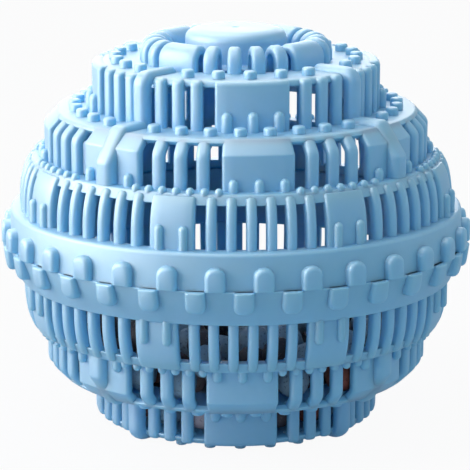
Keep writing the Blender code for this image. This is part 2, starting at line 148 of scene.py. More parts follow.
def sky_blue_plastic():
    """Semi-matte plastic: faintly clouded where it flowed, with a spark-eroded grain and rubbed spots."""
    material, start = new_material("satin_sky_blue_plastic")
    spot = start.node("ShaderNodeTexCoord", output="Object")
    cloud = noise(start, spot, 45, 3)
    grain = noise(start, spot, 2600, 2)
    rub = noise(start, spot, 240, 4, 0.6)
    body = blend(start, cloud, (0.13, 0.47, 0.78, 1), (0.16, 0.50, 0.81, 1))
    paler = blend(start, (rub - 0.5) * 0.5, body, (0.32, 0.63, 0.88, 1))
    bump = start.node("ShaderNodeBump", None, {"Strength": 0.25, "Distance": 0.02 * MM, "Height": grain})
    end_in_principled(start, {
        "Base Color": paler,
        "Roughness": 0.58 + rub * 0.14,
        "Normal": bump,
        "IOR": 1.6,
        "Specular IOR Level": 1.0,
        "Coat Weight": 0.2,
        "Coat Roughness": 0.3,
        "Subsurface Weight": 0.4,
        "Subsurface Radius": (0.4, 1.0, 1.5),
        "Subsurface Scale": 4 * MM,
    })
    return material


SKY_BLUE = sky_blue_plastic()


def place(r, height, angle, aside=0.0):
    """The point at radius r, turned by angle from the front, and moved aside along the tangent."""
    turn = radians(angle)
    return Vector((r * sin(turn) + aside * cos(turn), aside * sin(turn) - r * cos(turn), height))


def rounded(corners, steps=3, closed=False):
    """The points of a line through corners of (x, y, radius), each corner rounded by an arc.

    An arc takes no more than its sides, and just under half of one that leads to another arc.
    """
    points = []
    for i, (x, y, radius) in enumerate(corners):
        here = Vector((x, y))
        if radius == 0 or (not closed and i in (0, len(corners) - 1)):
            points.append(here)
            continue
        sides = []
        reach = []
        for other in (corners[i - 1], corners[(i + 1) % len(corners)]):
            sides.append(Vector(other[:2]) - here)
            reach.append(sides[-1].length * (0.49 if other[2] else 1.0))
        half = sides[0].angle(sides[1]) / 2
        cut = min(radius * cos(half) / sin(half), *reach)
        middle = (sides[0].normalized() + sides[1].normalized()).normalized()
        centre = here + middle * cut / cos(half)
        start = here + sides[0].normalized() * cut - centre
        end = here + sides[1].normalized() * cut - centre
        points += [centre + start.slerp(end, k / steps) * start.length for k in range(steps + 1)]
    return points


def mesh_of(shape):
    data = bpy.data.meshes.new("shape")
    shape.to_mesh(data)
    shape.free()
    return data


def loft(rings, endless=False):
    """A mesh through rings of points. An endless one joins its last ring to its first."""
    shape = bmesh.new()
    loops = [[shape.verts.new(point) for point in ring] for ring in rings]
    pairs = list(zip(loops, loops[1:]))
    if endless:
        pairs.append((loops[-1], loops[0]))
    else:
        shape.faces.new(reversed(loops[0]))
        shape.faces.new(loops[-1])
    for first, second in pairs:
        for k in range(len(first)):
            j = (k + 1) % len(first)
            shape.faces.new((first[k], first[j], second[j], second[k]))
    bmesh.ops.remove_doubles(shape, verts=shape.verts, dist=TOUCHING)
    loose = [edge for edge in shape.edges if edge.is_wire]
    bmesh.ops.delete(shape, geom=loose, context="EDGES")
    return mesh_of(shape)


def turned(corners, sides=TURN_STEPS):
    """A mesh of a closed outline of (r, height, radius), turned once round Z. It may touch the axis."""
    outline = rounded(corners)
    return loft([[place(r, h, 360 * i / sides) for r, h in outline] for i in range(sides)], endless=True)


def peg(r, foot, radius, height, edge, sides=14):
    """An upright round peg at the front, its foot sunk by ROOT and its top rounded by edge."""
    foot -= ROOT
    height += ROOT
    corners = [(0, foot, 0), (radius, foot, 0), (radius, foot + height, edge), (0, foot + height, 0)]
    data = turned(corners, sides)
    data.transform(Matrix.Translation(place(r, 0, 0)))
    return data


def ring_of_copies():
    """Nodes that set copies of a piece round the ball: in each of the groups, copies a pitch apart."""
    tree = bpy.data.node_groups.new("ring_of_copies", "GeometryNodeTree")
    for name, kind in (("Piece", "Geometry"), ("Groups", "Int"), ("Copies", "Int"),
                       ("Pitch", "Float"), ("First", "Float"), ("Material", "Material")):
        tree.interface.new_socket(name, in_out="INPUT", socket_type="NodeSocket" + kind)
    tree.interface.new_socket("Ring", in_out="OUTPUT", socket_type="NodeSocketGeometry")
    start = Wire(tree)
    given = tree.nodes.new("NodeGroupInput").outputs
    piece, groups, copies, pitch, first, material = [Wire(tree, socket) for socket in list(given)[:6]]
    index = start.node("GeometryNodeInputIndex")
    group = start.maths("FLOOR", (index + 0.5) / copies)
    step = index - group * copies - (copies - 1) * 0.5
    turn = first + group / groups * 360 + step * pitch
    spin = start.node("ShaderNodeCombineXYZ", None, {2: start.maths("RADIANS", turn)})
    points = start.node("GeometryNodeMeshLine", None, {"Count": groups * copies, "Offset": (0, 0, 0)})
    ring = start.node("GeometryNodeInstanceOnPoints", None,
                      {"Points": points, "Instance": piece, "Rotation": spin})
    ring = start.node("GeometryNodeRealizeInstances", None, {0: ring})
    ring = start.node("GeometryNodeSetMaterial", None, {"Geometry": ring, "Material": material})
    start.node("NodeGroupOutput", None, {0: ring})
    return tree


RING_OF_COPIES = ring_of_copies()


def grown(template, tree, values):
    """A plain mesh of what a tree of Geometry Nodes makes of the template with these values."""
    carrier = bpy.data.objects.new("template", template)
    bpy.context.scene.collection.objects.link(carrier)
    modifier = carrier.modifiers.new("grow", "NODES")
    modifier.node_group = tree
    for socket in tree.interface.items_tree:
        if socket.in_out == "INPUT" and socket.name in values:
            modifier[socket.identifier] = values[socket.name]
    evaluated = carrier.evaluated_get(bpy.context.evaluated_depsgraph_get())
    data = bpy.data.meshes.new_from_object(evaluated)
    carrier.modifiers.remove(modifier)
    bpy.data.objects.remove(carrier)
    bpy.data.meshes.remove(template)
    return data


def around(template, groups, copies=1, pitch=0.0, first=0.0):
    """A mesh of the template's copies round the ball. Its angles are in degrees from the front."""
    values = {"Groups": groups, "Copies": copies, "Pitch": float(pitch), "First": float(first)}
    return grown(template, RING_OF_COPIES, {**values, "Material": SKY_BLUE})


def shell_piece(name, shell, shapes):
    """A piece of one shell, from shapes whose heights are counted from the seam."""
    merged = bmesh.new()
    for shape in shapes:
        merged.from_mesh(shape)
        bpy.data.meshes.remove(shape)
    stand = Matrix.Rotation(radians(SEAT_TURN), 4, "Z")
    if shell == "lower_shell":
        stand = Matrix.Diagonal((1, 1, -1, 1))
    merged.transform(Matrix.Translation((0, 0, SEAM_Z)) @ stand)
    bmesh.ops.recalc_face_normals(merged, faces=merged.faces)
    data = mesh_of(merged)
    data.materials.clear()
    data.materials.append(SKY_BLUE)
    data.shade_smooth()
    data.set_sharp_from_angle(angle=radians(SHARP_ANGLE))
    piece = bpy.data.objects.new(name, data)
    bpy.context.scene.collection.objects.link(piece)
    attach(piece, shell)
    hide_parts(shell)


base_plate = turned([
    (0, BASE_DEPTH - WALL, 0),
    (0, BASE_DEPTH, 0),
    (PLATE_R - LEDGE_DRAW, BASE_DEPTH, LEDGE_EDGE),
    (PLATE_R, BASE_DEPTH - PLATE_DROP, LEDGE_BACK_EDGE),
    (PLATE_R - LEDGE_UNDERCUT, BASE_DEPTH - WALL, 0),
])
foot = peg(FOOT_RING_R, BASE_DEPTH, FOOT_R, SEAM_Z - BASE_DEPTH, FOOT_EDGE)
shell_piece("lower_base", "lower_shell", [base_plate, around(foot, FOOT_GROUPS, FEET, FOOT_PITCH)])

# Necks
# The small tier at each pole: round-topped ribs between a ledge and the shoulder, four plain panels
# with pegs at their feet, and four round bars that climb between the ribs and run in along the ledge.

NECK_TOP = 38.2 * MM
NECK_LEDGE_R = NECK_R - 1.2 * MM
NECK_LEDGE_DROP = 1.3 * MM
NECK_LEDGE_BORE = 18.8 * MM
NECK_ROUND = 2.2 * MM
NECK_RIB_REACH = 2.0 * MM      # how far a rib's top runs in, level
NECK_RIB_TAIL = 3.4 * MM       # and how far in it ends, under the ledge
NECK_RIB_TAIL_ROUND = 1.0 * MM
NECK_RIB_W = 2.5 * MM
NECK_RIB_PITCH = 7.7
NECK_PANELS = 4
NECK_PANEL_HALF = 14.6
NECK_BAR_W = 3.5 * MM
NECK_BAR_DEPTH = 2.6 * MM
NECK_BAR_PROUD = 1.4 * MM
NECK_BAR_ROUND = 3.1 * MM
NECK_LEG_CLEAR = 0.7 * MM      # from the crown to the end of a bar
NECK_LEG_SLOPE = 0.6 * MM
NECK_LEG_ROUND = 0.8 * MM
NECK_BULLET_R = 1.15 * MM
NECK_BULLET_H = 4.1 * MM
NECK_BULLET_PROUD = 0.25 * MM
NECK_BULLET_PITCH = 9.8
NECK_PEG_RING_R = 25.4 * MM
FRONT_PEGS = 5
FRONT_PEG_PITCH = 14.4
SIDE_PEGS = 6
SIDE_PEG_PITCH = 13.4
CROWN_R = 20.3 * MM
SHOULDER_TOP = 28.2 * MM
LEG_H = 1.2 * MM
BAR_EDGE = 1.3 * MM
RIB_DEPTH = 1.8 * MM
RIB_EDGE = 0.95 * MM
RIB_PROUD = 0.1 * MM
PANEL_EDGE = 0.7 * MM
PANEL_FACET = 2.5 * MM         # a broad bar is bent round the ball in facets of about this width
BACK_EDGE = 0.3 * MM
PEG_R = 1.35 * MM
PEG_H = 1.6 * MM
PEG_EDGE = 0.5 * MM


def wall(corners, depth, steps=3):
    """Matching outer and inner points of a wall, from its outer side's corners of (r, height, radius)."""
    outer = rounded(corners, steps)
    inner = []
    for i, point in enumerate(outer):
        along = outer[min(i + 1, len(outer) - 1)] - outer[max(i - 1, 0)]
        behind = point + Vector((-along.y, along.x)).normalized() * depth
        if i > 0 and (behind - inner[-1]).dot(point - outer[i - 1]) < 0:
            behind = inner[-1]
        inner.append(behind)
    return outer, inner


def strip(sides, width, edge, wide_at=None):
    """A mesh of a bar between matching outer and inner points, its long edges rounded.

    Its width stays the same, or with wide_at is measured at that radius and narrows towards the axis.
    """
    outer, inner = sides
    depth = (outer[0] - inner[0]).length
    parts = max(1, round(width / PANEL_FACET))
    between = [(width * (k / parts - 0.5), 0, 0) for k in range(1, parts)]
    front = [(-width / 2, 0, edge), *between, (width / 2, 0, edge)]
    back = [(-x, depth, BACK_EDGE if radius else 0) for x, y, radius in front]
    section = rounded(front + back, closed=True)
    rings = []
    for near, far in zip(outer, inner):
        ring = []
        for x, y in section:
            r, h = near.lerp(far, y / depth)
            angle = degrees(x / wide_at) if wide_at else 0
            ring.append(place(r, h, angle, 0 if wide_at else x))
        rings.append(ring)
    return loft(rings)


def panel_of(outline, half, r):
    """A mesh of a plain panel with this outline, out to the angle half on either side of the front."""
    return strip(wall(outline, RIB_DEPTH), 2 * radians(half) * r, PANEL_EDGE, r)


def neck_tier(name, shell, top, ledge):
    """The ribs, panels, bars and bullet-shaped pegs of a neck whose ledge is at the height top."""
    front = [
        (NECK_R, SHOULDER_TOP - ROOT, 0),
        (NECK_R, top + RIB_PROUD, NECK_ROUND),
        (NECK_R - NECK_RIB_REACH, top + RIB_PROUD, NECK_RIB_TAIL_ROUND),
        (NECK_R - NECK_RIB_TAIL, top - ROOT, 0),
    ]
    rib = strip(wall(front, RIB_DEPTH), NECK_RIB_W, RIB_EDGE)
    panel = panel_of(front, NECK_PANEL_HALF, NECK_R)
    leg_end_r = CROWN_R + NECK_LEG_CLEAR
    bar_path = [
        (NECK_R + NECK_BAR_PROUD, SHOULDER_TOP - ROOT, 0),
        (NECK_R + NECK_BAR_PROUD, top + LEG_H, NECK_BAR_ROUND),
        (leg_end_r + NECK_LEG_SLOPE, top + LEG_H, NECK_LEG_ROUND),
        (leg_end_r, top, 0),
    ]
    bar = strip(wall(bar_path, NECK_BAR_DEPTH, steps=6), NECK_BAR_W, BAR_EDGE)
    bullet = peg(NECK_R + NECK_BULLET_PROUD, SHOULDER_TOP, NECK_BULLET_R, NECK_BULLET_H, NECK_BULLET_R)
    bar_angle = 180 / NECK_PANELS
    shell_piece(name, shell, ledge + [
        around(rib.copy(), NECK_PANELS, 3, NECK_RIB_PITCH, first=bar_angle - 2 * NECK_RIB_PITCH),
        around(rib, NECK_PANELS, 3, NECK_RIB_PITCH, first=bar_angle + 2 * NECK_RIB_PITCH),
        around(panel, NECK_PANELS),
        around(bar, NECK_PANELS, first=bar_angle),
        around(bullet, NECK_PANELS, 3, NECK_BULLET_PITCH),
    ])


neck_ledge = turned([
    (NECK_LEDGE_BORE, NECK_TOP - WALL, 0),
    (NECK_LEDGE_BORE, NECK_TOP, 0),
    (NECK_LEDGE_R - LEDGE_DRAW, NECK_TOP, LEDGE_EDGE),
    (NECK_LEDGE_R, NECK_TOP - NECK_LEDGE_DROP, LEDGE_BACK_EDGE),
    (NECK_LEDGE_R - LEDGE_UNDERCUT, NECK_TOP - WALL, 0),
])
ledge_peg = peg(NECK_PEG_RING_R, NECK_TOP, PEG_R, PEG_H, PEG_EDGE)
neck_tier("lower_neck", "lower_shell", BASE_DEPTH, [])
front_pegs = around(ledge_peg.copy(), 2, FRONT_PEGS, FRONT_PEG_PITCH)
side_pegs = around(ledge_peg, 2, SIDE_PEGS, SIDE_PEG_PITCH, first=90)
neck_tier("upper_neck", "upper_shell", NECK_TOP, [neck_ledge, front_pegs, side_pegs])

# Shoulders
# The middle tier of each half: three chamfered ribs between each pair of its eight panels. Four of the
# panels carry a round bar that runs in over the ledge, and round pegs stand on the ledge between them.

SHOULDER_R = 40.6 * MM
SHOULDER_LEDGE_R = SHOULDER_R - 2.1 * MM
SHOULDER_LEDGE_DROP = 0.75 * MM
SHOULDER_LEDGE_DRAW = 0.6 * MM
SHOULDER_LEDGE_UNDERCUT = 0.9 * MM
SHOULDER_LEDGE_EDGE = 0.6 * MM
SHOULDER_LEDGE_BACK_EDGE = 0.2 * MM
SHOULDER_CHAMFER = 2.8 * MM
SHOULDER_FOOT_ROUND = 2.6 * MM    # of a rib, where its chamfer starts
SHOULDER_HEAD_ROUND = 2.0 * MM    # and where it ends
SHOULDER_RIB_TAIL = 4.4 * MM
SHOULDER_RIBS = 3
SHOULDER_RIB_W = 2.6 * MM
SHOULDER_RIB_PITCH = 6.6
SHOULDER_PANELS = 8
SHOULDER_PANEL_HALF = 10.4
PANEL_CRISPNESS = 4               # a rib's chamfer is rounded by this many times a panel's radius
SHOULDER_BARS = 4
SHOULDER_BAR_W = 4.2 * MM
SHOULDER_BAR_DEPTH = 3.5 * MM
SHOULDER_BAR_SLANT_R = 5.0 * MM
SHOULDER_BAR_SLANT_H = 5.5 * MM
SHOULDER_BAR_FOOT_ROUND = 1.8 * MM
SHOULDER_BAR_HEAD_ROUND = 2.0 * MM
SHOULDER_LEG_CLEAR = 0.8 * MM     # from the neck's wall to the end of a bar
SHOULDER_BULLET_R = 1.0 * MM
SHOULDER_BULLET_H = 2.6 * MM
SHOULDER_BULLET_PROUD = 0.35 * MM
SHOULDER_BULLET_PITCH = 7.1
SHOULDER_PEG_RING_R = 34.1 * MM
SHOULDER_PEGS = 8                 # between two bars
SHOULDER_PEG_PITCH = 10.0
BELT_TOP = 18.2 * MM


def shoulder_tier(name, shell, bar_r):
    """The ribs, panels, bars and pegs of a shoulder whose bars stand at bar_r, before they slope in."""
    front = [
        (SHOULDER_R, BELT_TOP - ROOT, 0),
        (SHOULDER_R, SHOULDER_TOP - SHOULDER_CHAMFER, SHOULDER_FOOT_ROUND),
        (SHOULDER_R - SHOULDER_CHAMFER, SHOULDER_TOP + RIB_PROUD, SHOULDER_HEAD_ROUND),
        (SHOULDER_R - SHOULDER_RIB_TAIL, SHOULDER_TOP - ROOT, 0),
    ]
    crisp = [(r, h, radius / PANEL_CRISPNESS) for r, h, radius in front]
    rib = strip(wall(front, RIB_DEPTH), SHOULDER_RIB_W, RIB_EDGE)
    panel = panel_of(crisp, SHOULDER_PANEL_HALF, SHOULDER_R)
    bar_path = [
        (bar_r, BELT_TOP - ROOT, 0),
        (bar_r, SHOULDER_TOP - SHOULDER_BAR_SLANT_H, SHOULDER_BAR_FOOT_ROUND),
        (bar_r - SHOULDER_BAR_SLANT_R, SHOULDER_TOP + LEG_H, SHOULDER_BAR_HEAD_ROUND),
        (NECK_R + SHOULDER_LEG_CLEAR, SHOULDER_TOP + LEG_H, 0),
    ]
    bar = strip(wall(bar_path, SHOULDER_BAR_DEPTH, steps=5), SHOULDER_BAR_W, BAR_EDGE)
    bullet_ring_r = SHOULDER_R + SHOULDER_BULLET_PROUD
    bullet = peg(bullet_ring_r, BELT_TOP, SHOULDER_BULLET_R, SHOULDER_BULLET_H, SHOULDER_BULLET_R)
    ledge = turned([
        (NECK_R - WALL, SHOULDER_TOP - WALL, 0),
        (NECK_R - WALL, SHOULDER_TOP, 0),
        (SHOULDER_LEDGE_R - SHOULDER_LEDGE_DRAW, SHOULDER_TOP, SHOULDER_LEDGE_EDGE),
        (SHOULDER_LEDGE_R, SHOULDER_TOP - SHOULDER_LEDGE_DROP, SHOULDER_LEDGE_BACK_EDGE),
        (SHOULDER_LEDGE_R - SHOULDER_LEDGE_UNDERCUT, SHOULDER_TOP - WALL, 0),
    ])
    ledge_peg = peg(SHOULDER_PEG_RING_R, SHOULDER_TOP, PEG_R, PEG_H, PEG_EDGE)
    bar_angle = 180 / SHOULDER_BARS
    shell_piece(name, shell, [
        ledge,
        around(rib, SHOULDER_PANELS, SHOULDER_RIBS, SHOULDER_RIB_PITCH, first=180 / SHOULDER_PANELS),
        around(panel, SHOULDER_PANELS),
        around(bar, SHOULDER_BARS, first=bar_angle),
        around(bullet.copy(), SHOULDER_BARS, 3, SHOULDER_BULLET_PITCH),
        around(bullet, SHOULDER_BARS, 2, 2 * SHOULDER_BULLET_PITCH, first=bar_angle),
        around(ledge_peg, SHOULDER_BARS, SHOULDER_PEGS, SHOULDER_PEG_PITCH),
    ])


shoulder_tier("lower_shoulder", "lower_shell", bar_r=42.5 * MM)
shoulder_tier("upper_shoulder", "upper_shell", bar_r=43.0 * MM)

# Belts
# The widest slotted tier of each half: slender ribs that lean in at the top, eight panels with two
# tall pegs each, a recessed band under the ledge, and rows of little round-topped knobs on it.

UPPER_BELT_R = 46.0 * MM
LOWER_BELT_R = 45.4 * MM
RIM_DEPTH = 7.5 * MM
BELT_STRAIGHT = 9.5 * MM       # the height up to which the wall is upright
BELT_BULGE = 3.0 * MM
BULGE_STEPS = 7
BELT_LIP_STEP = 2.6 * MM
BELT_LIP_REACH = 1.2 * MM      # how far a rib's top runs in from the lip
BELT_LIP_LOW = 0.4 * MM        # and how far it stays below the ledge
BELT_LIP_ROUND = 0.7 * MM
BELT_BAND_H = 2.1 * MM
BELT_BAND_DRAW = 0.3 * MM
BELT_BAND_PROUD = 0.8 * MM
BELT_BAND_BACK = 0.4 * MM
BELT_BAND_EDGE = 0.2 * MM
BELT_LEDGE_BACK = 1.4 * MM
BELT_LEDGE_EDGE = 0.5 * MM
BELT_RIBS = 6
BELT_RIB_W = 2.1 * MM
BELT_RIB_DEPTH = 2.2 * MM
BELT_RIB_EDGE = 0.85 * MM
BELT_RIB_PITCH = 5.08
BELT_PANELS = 8
BELT_PANEL_HALF = 5.8
BELT_BULLET_R = 0.95 * MM
BELT_BULLET_H = 4.9 * MM
BELT_BULLET_PROUD = 0.1 * MM
BELT_BULLET_PITCH = 6.2
KNOB_R = 0.9 * MM
KNOB_H = 1.15 * MM
KNOBS = 7
KNOB_PITCH = 3.86


def belt_tier(name, shell, belt_r):
    """The ribs, panels, pegs, ledge and knobs of a belt whose wall stands at belt_r."""
    lip_turn = acos(1 - BELT_LIP_STEP / BELT_BULGE)
    rise = (BELT_TOP - BELT_STRAIGHT) / sin(lip_turn)
    lip_r = belt_r - BELT_LIP_STEP
    front = [(belt_r, RIM_DEPTH - ROOT, 0)]
    for k in range(BULGE_STEPS):
        turn = lip_turn * k / BULGE_STEPS
        front.append((belt_r - BELT_BULGE * (1 - cos(turn)), BELT_STRAIGHT + rise * sin(turn), 0))
    front += [
        (lip_r, BELT_TOP - BELT_LIP_LOW, BELT_LIP_ROUND),
        (lip_r - BELT_LIP_REACH, BELT_TOP - BELT_LIP_LOW, 0),
    ]
    rib = strip(wall(front, BELT_RIB_DEPTH), BELT_RIB_W, BELT_RIB_EDGE)
    panel = panel_of(front, BELT_PANEL_HALF, belt_r)
    bullet = peg(belt_r + BELT_BULLET_PROUD, RIM_DEPTH, BELT_BULLET_R, BELT_BULLET_H, BELT_BULLET_R)
    ledge = turned([
        (SHOULDER_R - WALL, BELT_TOP - WALL, 0),
        (SHOULDER_R - WALL, BELT_TOP, 0),
        (lip_r - BELT_BAND_DRAW, BELT_TOP, BELT_LEDGE_EDGE),
        (lip_r + BELT_BAND_PROUD, BELT_TOP - BELT_BAND_H, BELT_BAND_EDGE),
        (lip_r - BELT_BAND_BACK, BELT_TOP - BELT_BAND_H, 0),
        (lip_r - BELT_LEDGE_BACK, BELT_TOP - WALL, 0),
    ])
    knob = peg(lip_r - KNOB_R, BELT_TOP, KNOB_R, KNOB_H, KNOB_R, sides=10)
    panel_angle = 180 / BELT_PANELS
    shell_piece(name, shell, [
        ledge,
        around(rib, BELT_PANELS, BELT_RIBS, BELT_RIB_PITCH),
        around(panel, BELT_PANELS, first=panel_angle),
        around(bullet, BELT_PANELS, 2, BELT_BULLET_PITCH, first=panel_angle),
        around(knob, BELT_PANELS, KNOBS, KNOB_PITCH, first=panel_angle),
    ])


belt_tier("lower_belt", "lower_shell", LOWER_BELT_R)
belt_tier("upper_belt", "upper_shell", UPPER_BELT_R)

# Rims and their teeth
# The halves meet in two stout rims, each with 32 round-cornered teeth that give a wet hand its grip.
# The lower rim flares to the seam, with a thin spigot behind it that reaches up into the upper rim.

SEAM_GAP = 0.01 * MM
LOWER_RIM_R = 49.0 * MM
LOWER_RIM_FOOT_R = 46.2 * MM
LOWER_RIM_BORE = 43.9 * MM
LOWER_RIM_EDGE = 0.5 * MM
LOWER_SEAM_EDGE = 0.15 * MM
SPIGOT_H = 5.4 * MM
SPIGOT_EDGE = 0.3 * MM
GROOVE_R = 47.5 * MM           # of the groove between the lower rim and its spigot, at the seam
GROOVE_DEPTH = 5.2 * MM
UPPER_RIM_R = 48.3 * MM
UPPER_RIM_TOP_R = 48.0 * MM
UPPER_RIM_BORE = 44.5 * MM
UPPER_RIM_EDGE = 0.8 * MM
TEETH = 32
TOOTH_R = 50.0 * MM
TOOTH_W = 4.1 * MM
TOOTH_EDGE = 0.85 * MM
TOOTH_SEAM_CORNER = 0.3 * MM
TOOTH_SEAM_DRAW = 0.3          # how much of its edge is rounded off at the seam
TOOTH_ROUNDING = ((1, 0), (0.55, 0.11), (0.16, 0.45), (0, 1))    # down and in, as shares of its edge


def tooth(height, corner, inner_r, lean=0.0):
    """A block that stands out of a rim at the front, square at the seam and rounded at its far end.

    Its face leans in by lean for each metre away from the seam.
    """
    steps = [(inner_r, 0)]
    steps += [(TOOTH_R - down * TOOTH_EDGE, inset) for down, inset in TOOTH_ROUNDING]
    rings = []
    for r, inset in steps:
        edge = inset * TOOTH_EDGE
        half = TOOTH_W / 2 - edge
        low = SEAM_GAP + edge * TOOTH_SEAM_DRAW
        outline = rounded([
            (-half, low, TOOTH_SEAM_CORNER),
            (half, low, TOOTH_SEAM_CORNER),
            (half, height - edge, corner),
            (-half, height - edge, corner),
        ], steps=4, closed=True)
        rings.append([place(r - lean * h, h, 0, aside) for aside, h in outline])
    return loft(rings)


lower_rim = turned([
    (LOWER_RIM_BORE, -SPIGOT_H, 0),
    (LOWER_BELT_R, -SPIGOT_H, SPIGOT_EDGE),
    (LOWER_BELT_R, GROOVE_DEPTH, 0),
    (GROOVE_R, SEAM_GAP, 0),
    (LOWER_RIM_R, SEAM_GAP, LOWER_SEAM_EDGE),
    (LOWER_RIM_FOOT_R, RIM_DEPTH, LOWER_RIM_EDGE),
    (LOWER_RIM_BORE, RIM_DEPTH, 0),
])
lower_tooth = tooth(height=4.7 * MM, corner=1.5 * MM, inner_r=47.8 * MM, lean=0.14)
shell_piece("lower_rim", "lower_shell", [lower_rim, around(lower_tooth, TEETH)])

upper_rim = turned([
    (UPPER_RIM_BORE, RIM_DEPTH, 0),
    (UPPER_RIM_TOP_R, RIM_DEPTH, UPPER_RIM_EDGE),
    (UPPER_RIM_R, SEAM_GAP, 0),
    (UPPER_RIM_R - WALL, SEAM_GAP, 0),
    (UPPER_RIM_R - WALL, RIM_DEPTH - WALL, 0),
    (UPPER_RIM_BORE, RIM_DEPTH - WALL, 0),
])
upper_tooth = tooth(height=4.8 * MM, corner=1.8 * MM, inner_r=47.2 * MM)
shell_piece("upper_rim", "upper_shell", [upper_rim, around(upper_tooth, TEETH)])

# Twist lock
# Four lugs round the spigot pass over four hooks in the upper rim's bore when the halves are turned,
# and hold them shut. A stop at each end of a lug's way ends the turn. All are moulded with the shells.

LOCKS = 4
LUG_INNER_R = 44.8 * MM
LUG_OUTER_R = 46.4 * MM
LUG_LOW = 2.6 * MM             # above the seam, as all heights of the lock
LUG_TOP = 3.8 * MM
LUG_HALF = 8.0
LOCK_OUTER_R = 47.2 * MM       # how far hooks and stops reach into the upper rim
HOOK_INNER_R = 45.75 * MM
HOOK_LOW = 0.6 * MM
HOOK_TOP = 2.3 * MM
HOOK_OVERLAP = 1.2             # of a hook and its shut stop
STOP_INNER_R = 45.85 * MM
STOP_LOW = 1.5 * MM
STOP_TOP = 6.6 * MM
STOP_WIDTH = 2.4               # degrees, as all widths and gaps along the turn
STOP_GAP = 0.4
LOCK_EDGE = 0.25 * MM
OPENING_TURN = 18.0


def arched_block(r_in, r_out, low, top, first, last):
    """A block with this section, swept round the axis from one angle to another."""
    corners = [(r_in, low, 0), (r_out, low, LOCK_EDGE), (r_out, top, LOCK_EDGE), (r_in, top, 0)]
    outline = rounded(corners, steps=2, closed=True)
    steps = max(2, round(last - first))
    turns = [first + (last - first) * k / steps for k in range(steps + 1)]
    return loft([[place(r, h, angle) for r, h in outline] for angle in turns])


def stop(first):
    return arched_block(LOCK_OUTER_R, STOP_INNER_R, STOP_LOW, STOP_TOP, first, first + STOP_WIDTH)


lug = arched_block(LUG_INNER_R, LUG_OUTER_R, -LUG_TOP, -LUG_LOW, -LUG_HALF, LUG_HALF)
shell_piece("lugs", "lower_shell", [around(lug, LOCKS)])

hook_first = -SEAT_TURN - LUG_HALF - STOP_GAP
hook_last = -SEAT_TURN + LUG_HALF + STOP_GAP
hook = arched_block(LOCK_OUTER_R, HOOK_INNER_R, HOOK_LOW, HOOK_TOP, hook_first, hook_last + HOOK_OVERLAP)
shut_stop = stop(hook_last)
open_stop = stop(hook_first - OPENING_TURN - STOP_WIDTH)
hooks_and_stops = [around(block, LOCKS) for block in (hook, shut_stop, open_stop)]
shell_piece("hooks_and_stops", "upper_shell", hooks_and_stops)

# Crown
# A ring of hoops stands on the upper neck's ledge round the disc: sixteen slender round ones in four
# groups, and between them four broad saddles over the ends of the neck's bars.

CROWN_CENTRE_R = 17.0 * MM
CROWN_HALF = 3.3 * MM
CROWN_FOOT = 40.1 * MM         # the height up to which a hoop's legs are upright
ARCH_STEPS = 10
HOOP_GROUPS = 4
HOOPS = 4
HOOP_W = 3.1 * MM
HOOP_EDGE = 1.35 * MM
HOOP_PITCH = 14.7
SADDLE_HALF = 14.5
SADDLE_EDGE = 1.0 * MM


def hoop_path(depth):
    """Outer and inner points of a hoop, from its foot on the ledge over the top to the inner foot."""
    sides = []
    for reach in (CROWN_HALF, CROWN_HALF - depth):
        points = [Vector((CROWN_CENTRE_R + reach, NECK_TOP - ROOT))]
        for k in range(ARCH_STEPS + 1):
            turn = pi * k / ARCH_STEPS
            points.append(Vector((CROWN_CENTRE_R + reach * cos(turn), CROWN_FOOT + reach * sin(turn))))
        points.append(Vector((CROWN_CENTRE_R - reach, NECK_TOP - ROOT)))
        sides.append(points)
    return sides


hoop = strip(hoop_path(RIB_DEPTH), HOOP_W, HOOP_EDGE, CROWN_R)
saddle = strip(hoop_path(RIB_DEPTH), 2 * radians(SADDLE_HALF) * CROWN_R, SADDLE_EDGE, CROWN_R)
hoops = around(hoop, HOOP_GROUPS, HOOPS, HOOP_PITCH)
saddles = around(saddle, HOOP_GROUPS, first=180 / HOOP_GROUPS)
shell_piece("crown", "upper_shell", [hoops, saddles])

# Disc
# The round button in the middle of the crown, with a soft edge and the tiny mark of its moulding
# gate. Its skirt runs down to the ledge inside the hoops.

DISC_R = 10.7 * MM
DISC_TOP = 45.0 * MM
DISC_FLAT_R = 8.0 * MM
DISC_FLAT_ROUND = 4.0 * MM
DISC_SLOPE = 0.8 * MM
DISC_EDGE = 2.2 * MM
DISC_ROOF_ROUND = 0.8 * MM     # inside, from the disc down to its skirt
GATE_R = 0.5 * MM
GATE_EDGE = 0.1 * MM
GATE_MOUTH_R = 0.8 * MM
GATE_MOUTH_EDGE = 0.15 * MM
GATE_DEPTH = 0.3 * MM
SKIRT_R = 15.3 * MM
SKIRT_ROUND = 0.5 * MM

disc = turned([
    (0, DISC_TOP - WALL, 0),
    (0, DISC_TOP - GATE_DEPTH, 0),
    (GATE_R, DISC_TOP - GATE_DEPTH, GATE_EDGE),
    (GATE_MOUTH_R, DISC_TOP, GATE_MOUTH_EDGE),
    (DISC_FLAT_R, DISC_TOP, DISC_FLAT_ROUND),
    (DISC_R, DISC_TOP - DISC_SLOPE, DISC_EDGE),
    (DISC_R, NECK_TOP, SKIRT_ROUND),
    (SKIRT_R, NECK_TOP, 0),
    (SKIRT_R, NECK_TOP - WALL, 0),
    (DISC_R - WALL, NECK_TOP - WALL, 0),
    (DISC_R - WALL, DISC_TOP - WALL, DISC_ROOF_ROUND),
])
shell_piece("disc", "upper_shell", [disc])

# Beads
# Fired balls of clay and mineral powder, loose in the lower half. The clay-red and near-black ones
# lie low, the greyish pink and slate-blue ones on top, as they were poured in.

